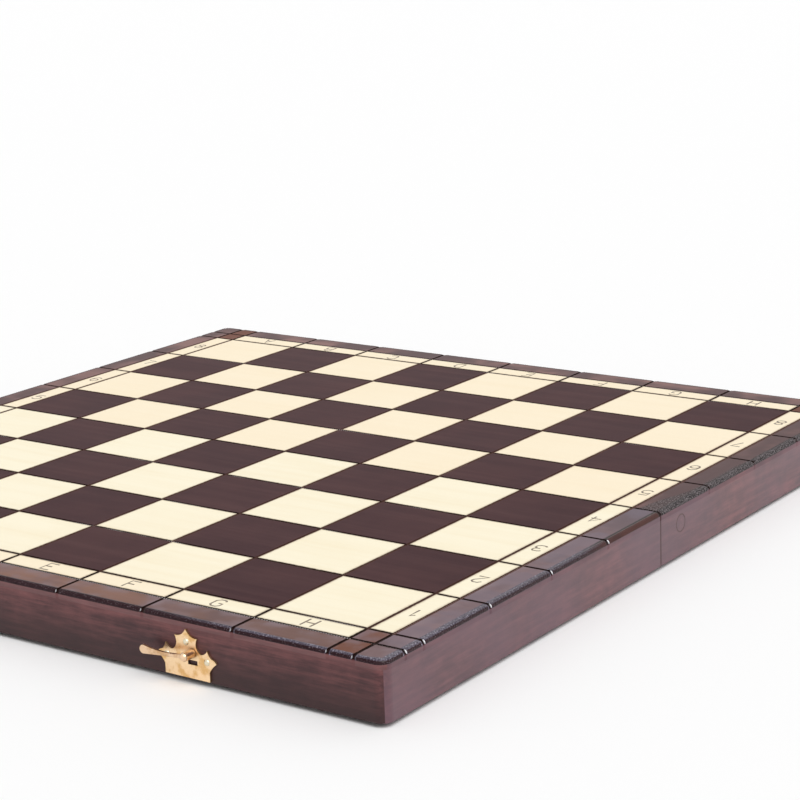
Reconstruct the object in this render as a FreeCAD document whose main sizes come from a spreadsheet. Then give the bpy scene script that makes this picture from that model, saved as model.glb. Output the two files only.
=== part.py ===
"""A folding chess board: two shallow wooden trays, hinged along the fold and held shut by brass clasps.

The board lies open with the playing surface up. X runs along the files' row, Y from the clasp side
to the far side, Z up. The fold runs along X through the origin, on the table under the hinge barrels.
"""
import FreeCAD, Part
import math
import os
from types import SimpleNamespace

import Sketcher

# Driving sizes in millimetres
SIZES = {
    # Playing surface
    "square_side": 46.0,
    "label_strip": 12.0,
    "border_strip": 14.0,
    "groove_width": 1.3,
    "groove_depth": 0.5,
    "edge_radius": 1.9,
    "corner_radius": 5.0,
    "panel_thickness": 4.0,
    # Case
    "half_height": 25.0,
    "wall_thickness": 9.0,
    "rail_thickness": 14.0,
    "seam_gap": 0.4,
    "rim_gap": 0.2,
    "lining_thickness": 1.0,
    "lining_clearance": 0.3,
    "plug_radius": 4.0,
    "plug_depth": 5.0,
    "plug_clearance": 0.08,
    "plug_from_seam": 18.5,
    "plug_below_top": 10.0,
    # Hinges
    "hinge_length": 50.0,
    "leaf_width": 11.0,
    "leaf_thickness": 1.0,
    "leaf_clearance": 0.1,
    "knuckle_radius": 1.9,
    "knuckle_gap": 0.3,
    "knuckle_clearance": 0.3,
    "pin_radius": 0.95,
    "pin_clearance": 0.05,
    "screw_spacing": 17.0,
    "screw_inset": 6.5,
    "screw_head_radius": 2.2,
    "screw_shank_radius": 1.1,
    "screw_length": 10.0,
    "screw_slot_width": 0.6,
    "screw_slot_depth": 0.5,
    "screw_clearance": 0.05,
    # Clasps
    "sheet_thickness": 0.8,
    "bend_radius": 0.5,
    "leaf_plate_width": 30.0,
    "leaf_plate_height": 20.0,
    "leaf_plate_rise": 0.6,
    "window_width": 4.8,
    "window_height": 2.0,
    "window_rise": 5.7,
    "pivot_rise": 10.7,
    "pivot_offset": 3.0,
    "hook_length": 23.0,
    "hook_thickness": 1.2,
    "hook_edge_radius": 0.3,
    "hook_standoff": 4.0,
    "hook_play": 0.1,
    "hub_radius": 1.9,
    "rivet_radius": 1.0,
    "rivet_head_radius": 1.7,
    "rivet_depth": 6.0,
    "rivet_clearance": 0.06,
    "keeper_reach": 3.0,
    "keeper_clearance": 0.6,
    "keeper_strap": 4.6,
    "keeper_foot": 4.2,
    "keeper_rise": 3.2,
    "keeper_height": 3.6,
    "nail_head_radius": 1.4,
    "nail_head_height": 0.8,
    "nail_shank_radius": 0.7,
    "nail_length": 8.0,
    "nail_clearance": 0.05,
    # How far a cut runs past what it cuts
    "overrun": 1.0,
}

SQUARES_PER_HALF = 4
# Squares from the middle of the board to the middle of a clasp or hinge
SQUARES_TO_FITTING = 2.5
KNUCKLES = 5
SCREWS_PER_LEAF = 3
# How close two measured places are to count as one
SAME_PLACE = 1e-6

# Right half of the leaf plate, from its tip round to its foot: shares of the half width and the height,
# then the bulge of the stretch that follows, as a share of that stretch
LEAF_SHARES = (
    (0.00, 1.00, -0.04),
    (0.14, 0.88, -0.08),
    (0.38, 0.84, -0.10),
    (0.34, 0.65, -0.10),
    (0.49, 0.53, -0.12),
    (0.71, 0.64, -0.08),
    (0.83, 0.49, 0.14),
    (1.00, 0.40, -0.06),
    (0.76, 0.20, 0.00),
    (0.76, 0.00, 0.00),
)
# Places of the nails on a leaf plate, as shares of its half width and its height
NAIL_SHARES = ((0.00, 0.74), (0.68, 0.40), (-0.68, 0.40))
# Hook arm about its pivot, as shares of its length: corners, with the middle of each round stretch
HOOK_CORNER_SHARES = ((-0.06, 0.041), (-0.90, 0.045), (-0.90, -0.109), (-0.06, -0.041))
HOOK_BEND_SHARES = ((-0.48, 0.000), (-1.00, -0.030), (-0.48, -0.070))


class Size:
    """A length that holds both its number and the formula that gives it from the sheet."""

    def __init__(self, number, formula):
        self.number = number
        self.formula = formula

    def __add__(self, other):
        other = as_size(other)
        return Size(self.number + other.number, f"({self.formula} + {other.formula})")

    def __sub__(self, other):
        other = as_size(other)
        return Size(self.number - other.number, f"({self.formula} - {other.formula})")

    def __mul__(self, other):
        other = as_size(other)
        return Size(self.number * other.number, f"({self.formula} * {other.formula})")

    def __truediv__(self, other):
        other = as_size(other)
        return Size(self.number / other.number, f"({self.formula} / {other.formula})")

    def __neg__(self):
        return self * -1

    __rmul__ = __mul__


def as_size(value):
    """A plain number as a size, so that counts and shares can join a formula."""
    return value if isinstance(value, Size) else Size(value, f"({value})")


document = FreeCAD.newDocument("folding_chess_board")
sheet = document.addObject("Spreadsheet::Sheet", "Sizes")
for row, (alias, number) in enumerate(SIZES.items(), start=1):
    sheet.set(f"A{row}", alias)
    sheet.set(f"B{row}", str(number))
    sheet.setAlias(f"B{row}", alias)
document.recompute()
size = SimpleNamespace(**{alias: Size(sheet.get(alias), f"Sizes.{alias}") for alias in SIZES})

# Levels and edges that several pieces share, in the frame of the near half
ZERO = as_size(0)
board_half = size.square_side * SQUARES_PER_HALF + size.label_strip + size.border_strip
fitting_offset = size.square_side * SQUARES_TO_FITTING
fold_height = size.knuckle_radius
rim = fold_height + size.rim_gap / 2
top = rim + size.half_height
panel_base = top - size.panel_thickness
front = -board_half
seam = -size.seam_gap / 2
plate_foot = rim + size.leaf_plate_rise
pivot_height = plate_foot + size.pivot_rise
hook_back = board_half + size.sheet_thickness + size.hook_standoff
hook_face = hook_back + size.hook_thickness
strap_inside = hook_face + size.keeper_clearance
knuckle_length = size.hinge_length / KNUCKLES

UPRIGHT = FreeCAD.Rotation()
ALONG_X = FreeCAD.Rotation(FreeCAD.Vector(0, 1, 0), 90)
HALF_TURN = FreeCAD.Rotation(FreeCAD.Vector(0, 0, 1), 180)

nodes = []


def node(piece, label, turn=UPRIGHT):
    """Names a finished piece and, for the far half, turns it about the middle of the board."""
    piece.Label = label
    if not turn.isIdentity():
        piece.Placement = FreeCAD.Placement(FreeCAD.Vector(), turn)
    nodes.append(piece)
    return piece


def place(piece, spot, rotation=UPRIGHT):
    """Sets a piece's rotation, and binds its position to formulas."""
    piece.Placement = FreeCAD.Placement(FreeCAD.Vector(*(part.number for part in spot)), rotation)
    for axis, part in zip("xyz", spot):
        piece.setExpression(f"Placement.Base.{axis}", part.formula)


def box(name, corner, sides):
    """A block from its lowest corner and its three sides."""
    block = document.addObject("Part::Box", name)
    for side, length in zip(("Length", "Width", "Height"), sides):
        block.setExpression(side, length.formula)
    place(block, corner)
    return block


def cylinder(name, start, radius, length, rotation=UPRIGHT):
    """A rod from the centre of its first end."""
    rod = document.addObject("Part::Cylinder", name)
    rod.setExpression("Radius", radius.formula)
    rod.setExpression("Height", length.formula)
    place(rod, start, rotation)
    return rod


def cone(name, start, first_radius, last_radius, length):
    """An upright cone from the centre of its first end."""
    taper = document.addObject("Part::Cone", name)
    taper.setExpression("Radius1", first_radius.formula)
    taper.setExpression("Radius2", last_radius.formula)
    taper.setExpression("Height", length.formula)
    place(taper, start)
    return taper


def fuse(name, pieces):
    """Pieces joined into one."""
    joined = document.addObject("Part::MultiFuse", name)
    joined.Shapes = pieces
    return joined


def cut(name, base, tools):
    """A base with all the tools taken out of it."""
    piece = document.addObject("Part::Cut", name)
    piece.Base = base
    piece.Tool = tools[0] if len(tools) == 1 else fuse(f"{name}_tools", tools)
    return piece


def group(name, pieces):
    """Separate solids that share one node."""
    bundle = document.addObject("Part::Compound", name)
    bundle.Links = pieces
    return bundle


def origin_feature(body, role):
    """One of a body's own origin planes or axes."""
    return next(feature for feature in body.Origin.OriginFeatures if feature.Role == role)


def sketch_on(body, name, role, offset=ZERO):
    """A sketch on one of the body's origin planes, moved along the plane's normal."""
    sketch = body.newObject("Sketcher::SketchObject", name)
    sketch.AttachmentSupport = [(origin_feature(body, role), "")]
    sketch.MapMode = "FlatFace"
    sketch.setExpression("AttachmentOffset.Base.z", offset.formula)
    return sketch


def vector(spot):
    """A pair of sizes as a point of a sketch."""
    return FreeCAD.Vector(spot[0].number, spot[1].number, 0)


def pin_down(sketch, edge, end, spot):
    """Holds a point of a sketch at its distance from the origin, by formula."""
    for kind, part in zip(("DistanceX", "DistanceY"), spot):
        index = sketch.addConstraint(Sketcher.Constraint(kind, -1, 1, edge, end, part.number))
        sketch.setExpression(f"Constraints[{index}]", part.formula)


def draw(sketch, corners, bends=None):
    """A closed outline through the corners; bends gives the middle point of each round stretch."""
    bends = bends or {}
    edges = []
    for index, corner in enumerate(corners):
        start = vector(corner)
        end = vector(corners[(index + 1) % len(corners)])
        if index in bends:
            curve = Part.Arc(start, vector(bends[index]), end)
        else:
            curve = Part.LineSegment(start, end)
        edges.append(sketch.addGeometry(curve, False))

    def end_at(edge, spot):
        first = sketch.getPoint(edge, 1).distanceToPoint(vector(spot))
        return 1 if first < sketch.getPoint(edge, 2).distanceToPoint(vector(spot)) else 2

    for index, corner in enumerate(corners):
        before = edges[index - 1]
        after = edges[index]
        joint = (before, end_at(before, corner), after, end_at(after, corner))
        sketch.addConstraint(Sketcher.Constraint("Coincident", *joint))
        pin_down(sketch, after, end_at(after, corner), corner)


def draw_circle(sketch, centre, radius):
    """A circle whose centre and radius follow formulas."""
    edge = sketch.addGeometry(Part.Circle(vector(centre), FreeCAD.Vector(0, 0, 1), radius.number), False)
    index = sketch.addConstraint(Sketcher.Constraint("Radius", edge, radius.number))
    sketch.setExpression(f"Constraints[{index}]", radius.formula)
    pin_down(sketch, edge, 3, centre)


def pad(body, sketch, length, reverse=False):
    """Material raised from a sketch along its normal."""
    feature = body.newObject("PartDesign::Pad", f"{sketch.Name}_pad")
    feature.Profile = sketch
    feature.setExpression("Length", length.formula)
    feature.Reversed = reverse
    document.recompute()
    return feature


def pocket(body, sketch, depth, side_type="One side", reverse=False):
    """A cut from a sketch, against its normal or to both sides, which must remove something."""
    volume_before = body.Shape.Volume
    feature = body.newObject("PartDesign::Pocket", f"{sketch.Name}_pocket")
    feature.Profile = sketch
    feature.SideType = side_type
    feature.setExpression("Length", depth.formula)
    feature.Reversed = reverse
    document.recompute()
    if body.Shape.Volume >= volume_before:
        raise RuntimeError(f"{feature.Name} cuts nothing")
    return feature


def repeat(body, feature, role, spacing, count):
    """Copies of a feature at an even spacing along one of the body's axes."""
    pattern = body.newObject("PartDesign::LinearPattern", f"{feature.Name}_row")
    pattern.Originals = [feature]
    pattern.Direction = (origin_feature(body, role), [""])
    pattern.Mode = "Spacing"
    pattern.setExpression("Offset", spacing.formula)
    pattern.Occurrences = count
    body.Tip = pattern
    document.recompute()


def round_edges(body, radius, chosen):
    """A fillet on the edges of the body that the test chooses."""
    base = body.Tip
    numbered = enumerate(base.Shape.Edges, start=1)
    names = [f"Edge{number}" for number, edge in numbered if chosen(edge.BoundBox)]
    feature = body.newObject("PartDesign::Fillet", f"{body.Name}_fillet")
    feature.Base = (base, names)
    feature.setExpression("Radius", radius.formula)
    document.recompute()


def near(first, second):
    """Whether two measured numbers are the same place."""
    return math.isclose(first, second, abs_tol=SAME_PLACE)


def on_round(centre, radius, degrees):
    """A point of a circle, for the middle of a round stretch."""
    angle = math.radians(degrees)
    return (centre[0] + radius * math.cos(angle), centre[1] + radius * math.sin(angle))


def panel(name, turn):
    """The playing panel of one half: rounded at the rim, with burnt lines that run out over the edge."""
    body = document.addObject("PartDesign::Body", name)
    outline = sketch_on(body, f"{name}_outline", "XY_Plane", panel_base)
    draw(outline, [(-board_half, front), (board_half, front), (board_half, seam), (-board_half, seam)])
    pad(body, outline, size.panel_thickness)
    round_edges(body, size.corner_radius,
                lambda bounds: near(bounds.YMax, front.number) and bounds.XLength < bounds.ZLength)
    round_edges(body, size.edge_radius,
                lambda bounds: near(bounds.ZMin, top.number) and not near(bounds.YMin, seam.number))
    groove_floor = top - size.groove_depth
    nick_foot = top - size.edge_radius
    nick_radius = size.edge_radius - size.groove_depth
    strip_edge = size.square_side * SQUARES_PER_HALF + size.label_strip

    def down_board(spot, start):
        """A line from the outer edge to the fold, drawn in the section across the board."""
        section = sketch_on(body, f"{name}_{spot}", "YZ_Plane", start)
        middle = on_round((front + size.edge_radius, nick_foot), nick_radius, 135)
        draw(section, [(front + size.groove_depth, nick_foot), (front + size.edge_radius, groove_floor),
                       (seam + size.overrun, groove_floor), (seam + size.overrun, top + size.overrun),
                       (front - size.overrun, top + size.overrun), (front - size.overrun, nick_foot)],
             {0: middle})
        return pocket(body, section, size.groove_width, "Symmetric")

    def across_board(spot, distance):
        """A line from side to side, drawn in the section along the board."""
        section = sketch_on(body, f"{name}_{spot}", "XZ_Plane", distance)
        left = size.edge_radius - board_half
        right = board_half - size.edge_radius
        outside = board_half + size.overrun
        draw(section, [(size.groove_depth - board_half, nick_foot),
                       (left, groove_floor), (right, groove_floor),
                       (board_half - size.groove_depth, nick_foot), (outside, nick_foot),
                       (outside, top + size.overrun), (-outside, top + size.overrun), (-outside, nick_foot)],
             {0: on_round((left, nick_foot), nick_radius, 135),
              2: on_round((right, nick_foot), nick_radius, 45)})
        return pocket(body, section, size.groove_width, "Symmetric")

    field_edge = size.square_side * SQUARES_PER_HALF
    repeat(body, down_board("file_line", -field_edge), "X_Axis", size.square_side, 2 * SQUARES_PER_HALF + 1)
    repeat(body, down_board("side_strip_line", -strip_edge), "X_Axis", strip_edge * 2, 2)
    repeat(body, across_board("rank_line", field_edge), "Y_Axis", size.square_side, SQUARES_PER_HALF + 1)
    across_board("end_strip_line", strip_edge)
    return node(body, name, turn)


def wall_holes(body, name, centres, radius, depth):
    """Round blind holes let into the outer face of a front or back wall."""
    sketch = sketch_on(body, f"{name}_holes", "XZ_Plane", board_half)
    for centre in centres:
        draw_circle(sketch, centre, radius)
    pocket(body, sketch, depth)


def end_wall(name, turn):
    """The wall along the outer edge of one half, mitred at its rounded corners."""
    body = document.addObject("PartDesign::Body", name)
    sketch = sketch_on(body, f"{name}_outline", "XY_Plane", rim)
    centre = board_half - size.corner_radius
    level = front + size.corner_radius
    inside = board_half - size.wall_thickness
    draw(sketch, [on_round((-centre, level), size.corner_radius, 225), (-centre, front), (centre, front),
                  on_round((centre, level), size.corner_radius, 315), (inside, -inside), (-inside, -inside)],
         {0: on_round((-centre, level), size.corner_radius, 247.5),
          2: on_round((centre, level), size.corner_radius, 292.5)})
    pad(body, sketch, size.half_height - size.panel_thickness)
    return node(body, name, turn)


def side_wall(name, side, turn):
    """A side wall of one half, from the mitre to the fold; side is 1 for plus X and -1 for minus X."""
    body = document.addObject("PartDesign::Body", name)
    sketch = sketch_on(body, f"{name}_outline", "XY_Plane", rim)
    level = front + size.corner_radius
    inside = board_half - size.wall_thickness
    centre = (board_half - size.corner_radius, level)
    mitre = on_round(centre, size.corner_radius, 315)
    bend = on_round(centre, size.corner_radius, 337.5)
    corners = [mitre, (board_half, level), (board_half, seam), (inside, seam), (inside, -inside)]
    draw(sketch, [(x * side, y) for x, y in corners], {0: (bend[0] * side, bend[1])})
    pad(body, sketch, size.half_height - size.panel_thickness)
    return node(body, name, turn)


def screw_places(middle):
    """Centres of one leaf's screws, seen from above."""
    for place_number in range(SCREWS_PER_LEAF):
        step = place_number - (SCREWS_PER_LEAF - 1) / 2
        yield (middle + size.screw_spacing * step, -size.screw_inset)


def seam_rail(name, turn):
    """The rail along the fold, with mortises for the hinge leaves, room for their barrels and screw holes."""
    inside = board_half - size.wall_thickness
    blank = box(f"{name}_blank", (-inside, seam - size.rail_thickness, rim),
                (inside * 2, size.rail_thickness, size.half_height - size.panel_thickness))
    length = size.hinge_length + size.leaf_clearance * 2
    width = size.leaf_width + size.leaf_clearance
    tools = []
    for side in (-1, 1):
        middle = fitting_offset * side
        start = middle - length / 2
        tools.append(box(f"{name}_mortise", (start, -width, rim - size.overrun),
                         (length, width + size.overrun, size.leaf_thickness + size.overrun)))
        tools.append(cylinder(f"{name}_barrel_room", (start, ZERO, fold_height),
                              size.knuckle_radius + size.knuckle_clearance, length, ALONG_X))
        for x, y in screw_places(middle):
            tools.append(cylinder(f"{name}_pilot_hole", (x, y, rim),
                                  size.screw_shank_radius + size.screw_clearance,
                                  size.screw_length + size.screw_clearance))
    return node(cut(name, blank, tools), name, turn)


def lining(name, turn):
    """The felt on the inside of the panel, between the walls."""
    half_length = board_half - size.wall_thickness - size.lining_clearance
    body = document.addObject("PartDesign::Body", name)
    sketch = sketch_on(body, f"{name}_outline", "XY_Plane", panel_base)
    last = seam - size.rail_thickness - size.lining_clearance
    draw(sketch, [(-half_length, -half_length), (half_length, -half_length), (half_length, last),
                  (-half_length, last)])
    pad(body, sketch, size.lining_thickness, reverse=True)
    return node(body, name, turn)


def hinge_leaf(name, side, own_knuckles, turn):
    """One leaf of a hinge: a plate let into the rim, its share of the barrel, and countersunk holes."""
    middle = fitting_offset * side
    start = middle - size.hinge_length / 2
    plate = box(f"{name}_plate", (start, -size.leaf_width, rim),
                (size.hinge_length, size.leaf_width, size.leaf_thickness))
    rooms = []
    barrels = []
    for knuckle in range(KNUCKLES):
        knuckle_start = start + knuckle_length * knuckle
        if knuckle in own_knuckles:
            barrel_start = knuckle_start + size.knuckle_gap / 2
            barrels.append(cylinder(f"{name}_barrel", (barrel_start, ZERO, fold_height),
                                    size.knuckle_radius, knuckle_length - size.knuckle_gap, ALONG_X))
        else:
            rooms.append(cylinder(f"{name}_room", (knuckle_start - size.knuckle_gap / 2, ZERO, fold_height),
                                  size.knuckle_radius + size.knuckle_clearance,
                                  knuckle_length + size.knuckle_gap, ALONG_X))
    blank = fuse(f"{name}_blank", [cut(f"{name}_notched", plate, rooms), *barrels])
    holes = [cylinder(f"{name}_bore", (start - size.overrun, ZERO, fold_height),
                      size.pin_radius + size.pin_clearance, size.hinge_length + size.overrun * 2, ALONG_X)]
    for x, y in screw_places(middle):
        holes.append(cone(f"{name}_countersink", (x, y, rim), size.screw_head_radius + size.screw_clearance,
                          size.screw_shank_radius + size.screw_clearance, size.leaf_thickness))
    return node(cut(name, blank, holes), name, turn)


def hinge_screws(name, turn):
    """The countersunk screws of both leaves on one half."""
    screws = []
    for side in (-1, 1):
        for x, y in screw_places(fitting_offset * side):
            head = cone(f"{name}_head", (x, y, rim), size.screw_head_radius, size.screw_shank_radius,
                        size.leaf_thickness)
            shank = cylinder(f"{name}_shank", (x, y, rim + size.leaf_thickness), size.screw_shank_radius,
                             size.screw_length - size.leaf_thickness)
            slot = box(f"{name}_slot", (x - size.screw_head_radius, y - size.screw_slot_width / 2,
                                        rim - size.overrun),
                       (size.screw_head_radius * 2, size.screw_slot_width,
                        size.screw_slot_depth + size.overrun))
            screws.append(cut(f"{name}_screw", fuse(f"{name}_body", [head, shank]), [slot]))
    return node(group(name, screws), name, turn)


def pivot_spot(side):
    """The middle of a hook's pivot, on the face of a clasp plate."""
    return (fitting_offset * side + size.pivot_offset, pivot_height)


def leaf_spot(middle, shares):
    """A point of a leaf plate from its shares of the half width and the height."""
    return (middle + size.leaf_plate_width / 2 * shares[0], plate_foot + size.leaf_plate_height * shares[1])


def draw_leaf(sketch, middle):
    """The lobed outline of a leaf plate, mirrored about its middle."""
    right = [leaf_spot(middle, shares) for shares in LEAF_SHARES]
    left = [leaf_spot(middle, (-x, y)) for x, y, bulge in LEAF_SHARES[:0:-1]]
    corners = right + left
    bulges = [bulge for x, y, bulge in LEAF_SHARES] + [bulge for x, y, bulge in LEAF_SHARES[-2::-1]]
    bends = {}
    for index, bulge in enumerate(bulges):
        first = corners[index]
        last = corners[(index + 1) % len(corners)]
        if bulge:
            bends[index] = ((first[0] + last[0]) / 2 + (first[1] - last[1]) * bulge,
                            (first[1] + last[1]) / 2 + (last[0] - first[0]) * bulge)
    draw(sketch, corners, bends)


def leaf_plate(name, side, windowed, shank_holes, turn):
    """A leaf-shaped brass plate on the outer wall, with holes for what passes through it."""
    middle = fitting_offset * side
    body = document.addObject("PartDesign::Body", name)
    outline = sketch_on(body, f"{name}_outline", "XZ_Plane", board_half)
    draw_leaf(outline, middle)
    pad(body, outline, size.sheet_thickness)
    face = board_half + size.sheet_thickness
    holes = sketch_on(body, f"{name}_holes", "XZ_Plane", face)
    for centre, radius in shank_holes:
        draw_circle(holes, centre, radius)
    if windowed:
        low = plate_foot + size.window_rise
        high = low + size.window_height
        left = pivot_spot(side)[0] - size.window_width / 2
        right = left + size.window_width
        draw(holes, [(left, low), (right, low), (right, high), (left, high)])
    pocket(body, holes, size.sheet_thickness + size.overrun)
    return node(body, name, turn)


def hook(name, side):
    """A swinging hook: a hub that stands off the plate, and an arm that widens to a spoon for the finger."""
    pivot = pivot_spot(side)
    body = document.addObject("PartDesign::Body", name)

    def spot(shares):
        return (pivot[0] + size.hook_length * shares[0], pivot[1] + size.hook_length * shares[1])

    arm = sketch_on(body, f"{name}_arm", "XZ_Plane", hook_back)
    bends = {index: spot(shares) for index, shares in enumerate(HOOK_BEND_SHARES)}
    draw(arm, [spot(shares) for shares in HOOK_CORNER_SHARES], bends)
    pad(body, arm, size.hook_thickness)
    round_edges(body, size.hook_edge_radius,
                lambda bounds: (near(bounds.YMax, -hook_face.number)
                                and bounds.XLength > size.hook_edge_radius.number))
    for part_name, height, reverse in (("eye", size.hook_thickness, False),
                                       ("hub", size.hook_standoff - size.hook_play, True)):
        disc = sketch_on(body, f"{name}_{part_name}", "XZ_Plane", hook_back)
        draw_circle(disc, pivot, size.hub_radius)
        pad(body, disc, height, reverse)
    bore = sketch_on(body, f"{name}_bore", "XZ_Plane", hook_face)
    draw_circle(bore, pivot, size.rivet_radius + size.rivet_clearance)
    pocket(body, bore, size.hook_thickness + size.hook_standoff)
    return node(body, name)


def headed_pin(name, spot, turn, head_radius, head_height, shank_radius, shank_length):
    """A nail or rivet: a domed head that stands out from its seat, and a shank behind it."""
    body = document.addObject("PartDesign::Body", name)
    profile = sketch_on(body, f"{name}_profile", "XY_Plane")
    dome_radius = (head_radius * head_radius + head_height * head_height) / (head_height * 2)
    half_angle = math.degrees(math.asin(head_radius.number / dome_radius.number)) / 2
    dome = on_round((ZERO, dome_radius - head_height), dome_radius, half_angle - 90)
    draw(profile, [(ZERO, shank_length), (ZERO, -head_height), (head_radius, ZERO), (shank_radius, ZERO),
                   (shank_radius, shank_length)], {1: dome})
    turned = body.newObject("PartDesign::Revolution", f"{name}_turned")
    turned.Profile = profile
    turned.ReferenceAxis = (profile, ["V_Axis"])
    place(body, spot, turn)
    return body


def keeper(name, side):
    """The bent strap that the hook swings into: a foot on the plate, a leg, and a strap over the hook."""
    inside = pivot_spot(side)[0] + size.keeper_reach
    outside = inside + size.sheet_thickness
    foot_end = inside + size.keeper_foot
    seat = board_half + size.sheet_thickness
    foot_face = seat + size.sheet_thickness
    strap_face = strap_inside + size.sheet_thickness
    strap_end = inside - size.keeper_strap
    body = document.addObject("PartDesign::Body", name)
    bent = sketch_on(body, f"{name}_bent", "XY_Plane", rim + size.keeper_rise)
    draw(bent, [(inside, seat), (foot_end, seat), (foot_end, foot_face), (outside, foot_face),
                (outside, strap_face), (strap_end, strap_face), (strap_end, strap_inside),
                (inside, strap_inside)])
    pad(body, bent, size.keeper_height)

    def bend_lines(*spots):
        return lambda bounds: any(near(bounds.XMin, x.number) and near(bounds.XMax, x.number)
                                  and near(bounds.YMin, y.number) and near(bounds.YMax, y.number)
                                  for x, y in spots)

    round_edges(body, size.bend_radius, bend_lines((inside, strap_inside), (outside, foot_face)))
    round_edges(body, size.bend_radius + size.sheet_thickness,
                bend_lines((inside, seat), (outside, strap_face)))
    holes = sketch_on(body, f"{name}_hole", "XZ_Plane", -foot_face)
    draw_circle(holes, keeper_nail_spot(side), size.nail_shank_radius + size.nail_clearance)
    pocket(body, holes, size.sheet_thickness, reverse=True)
    return node(body, name)


def keeper_nail_spot(side):
    """The nail through the middle of the free part of a keeper's foot."""
    inside = pivot_spot(side)[0] + size.keeper_reach
    middle = inside + size.sheet_thickness / 2 + size.keeper_foot / 2
    return (middle, rim + size.keeper_rise + size.keeper_height / 2)


def nail(name, spot, seat, turn):
    """A round-headed nail at a place on an outer wall, its head on the seat."""
    return headed_pin(name, (spot[0], seat, spot[1]), turn, size.nail_head_radius, size.nail_head_height,
                      size.nail_shank_radius, size.nail_length)


# Both wooden halves
for half, turn in (("near", UPRIGHT), ("far", HALF_TURN)):
    panel(f"{half}_panel", turn)
    seam_rail(f"{half}_seam_rail", turn)
    lining(f"{half}_lining", turn)
    hinge_screws(f"{half}_hinge_screws", turn)
front_wall = end_wall("near_front_wall", UPRIGHT)
back_wall = end_wall("far_back_wall", HALF_TURN)
side_wall("near_left_wall", -1, UPRIGHT)
side_wall("near_right_wall", 1, UPRIGHT)
side_wall("far_left_wall", 1, HALF_TURN)
plugged_wall = side_wall("far_right_wall", -1, HALF_TURN)

# The flush plug beside the fold, and the hole that it fills
plug_spot = (-size.plug_from_seam, top - size.plug_below_top)
plug_hole = sketch_on(plugged_wall, "plug_hole", "YZ_Plane", -board_half)
draw_circle(plug_hole, plug_spot, size.plug_radius + size.plug_clearance)
pocket(plugged_wall, plug_hole, size.plug_depth, reverse=True)
plug = cylinder("wall_plug", (board_half - size.plug_depth, size.plug_from_seam, plug_spot[1]),
                size.plug_radius, size.plug_depth, ALONG_X)
node(plug, "wall_plug")

# Hinges: the near leaf holds the outer and middle knuckles, the far leaf those between
near_knuckles = range(0, KNUCKLES, 2)
far_knuckles = range(1, KNUCKLES, 2)
for hand, side in (("left", -1), ("right", 1)):
    hinge_leaf(f"{hand}_hinge_near_leaf", side, near_knuckles, UPRIGHT)
    hinge_leaf(f"{hand}_hinge_far_leaf", -side, far_knuckles, HALF_TURN)
    pin_start = fitting_offset * side - size.hinge_length / 2
    hinge_pin = cylinder(f"{hand}_hinge_pin", (pin_start, ZERO, fold_height), size.pin_radius,
                         size.hinge_length, ALONG_X)
    node(hinge_pin, f"{hand}_hinge_pin")

# Clasps on the near half's outer wall and keepers on the far half's
nail_hole = size.nail_shank_radius + size.nail_clearance
rivet_hole = size.rivet_radius + size.rivet_clearance
plate_face = board_half + size.sheet_thickness
keeper_face = plate_face + size.sheet_thickness
clasp_nails = []
keeper_nails = []
front_nail_spots = []
back_nail_spots = []
rivet_spots = []
for hand, side in (("left", -1), ("right", 1)):
    middle = fitting_offset * side
    nail_spots = [leaf_spot(middle, shares) for shares in NAIL_SHARES]
    foot_nail = keeper_nail_spot(side)
    pivot = pivot_spot(side)
    leaf_plate(f"{hand}_clasp_plate", side, True,
               [(spot, nail_hole) for spot in nail_spots] + [(pivot, rivet_hole)], UPRIGHT)
    hook(f"{hand}_hook", side)
    rivet = headed_pin(f"{hand}_hook_rivet", (pivot[0], -hook_face - size.hook_play, pivot[1]), UPRIGHT,
                       size.rivet_head_radius, size.keeper_clearance + size.sheet_thickness - size.hook_play,
                       size.rivet_radius,
                       hook_face + size.hook_play - board_half + size.rivet_depth)
    node(rivet, f"{hand}_hook_rivet")
    turned_nails = [(-x, z) for x, z in nail_spots + [foot_nail]]
    leaf_plate(f"{hand}_keeper_plate", -side, False, [(spot, nail_hole) for spot in turned_nails], HALF_TURN)
    keeper(f"{hand}_keeper", side)
    clasp_nails += [nail(f"{hand}_clasp_nail", spot, -plate_face, UPRIGHT) for spot in nail_spots]
    keeper_nails += [nail(f"{hand}_keeper_nail", spot, plate_face, HALF_TURN) for spot in nail_spots]
    keeper_nails.append(nail(f"{hand}_keeper_foot_nail", foot_nail, keeper_face, HALF_TURN))
    front_nail_spots += nail_spots
    back_nail_spots += turned_nails
    rivet_spots.append(pivot)
node(group("clasp_nails", clasp_nails), "clasp_nails")
node(group("keeper_nails", keeper_nails), "keeper_nails")
wall_holes(front_wall, "clasp_nail", front_nail_spots, nail_hole, size.nail_length)
wall_holes(front_wall, "hook_rivet", rivet_spots, rivet_hole, size.rivet_depth + size.rivet_clearance)
wall_holes(back_wall, "keeper_nail", back_nail_spots, nail_hole, size.nail_length)

document.recompute()
for item in document.Objects:
    if "Invalid" in item.State or "Error" in item.State:
        raise RuntimeError(f"{item.Name} failed: {item.State}")
for piece in nodes:
    if piece.Shape.isNull() or not piece.Shape.isValid():
        raise RuntimeError(f"{piece.Label} has no valid shape")

os.makedirs("parts", exist_ok=True)
for piece in nodes:
    piece.Shape.exportStep(f"parts/{piece.Label}.step")
    print(f"{piece.Label}: {len(piece.Shape.Solids)} solids, {piece.Shape.Volume:.1f} mm3")
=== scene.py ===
# %% [markdown]
# # A folding chess board
# The board is a shallow wooden case that opens flat. Its solids come from the CAD model, one object per
# piece. This lesson gives them their finishes, and adds what a maker burns, draws and glues onto them: the
# toothed burnt edge, the scorched lines, the coordinates and the felt. Everything is in metres, in the frame
# of the CAD model.

# %% Load the CAD model
import math

import bmesh
import bpy
from mathutils import Matrix, Vector, noise


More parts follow.
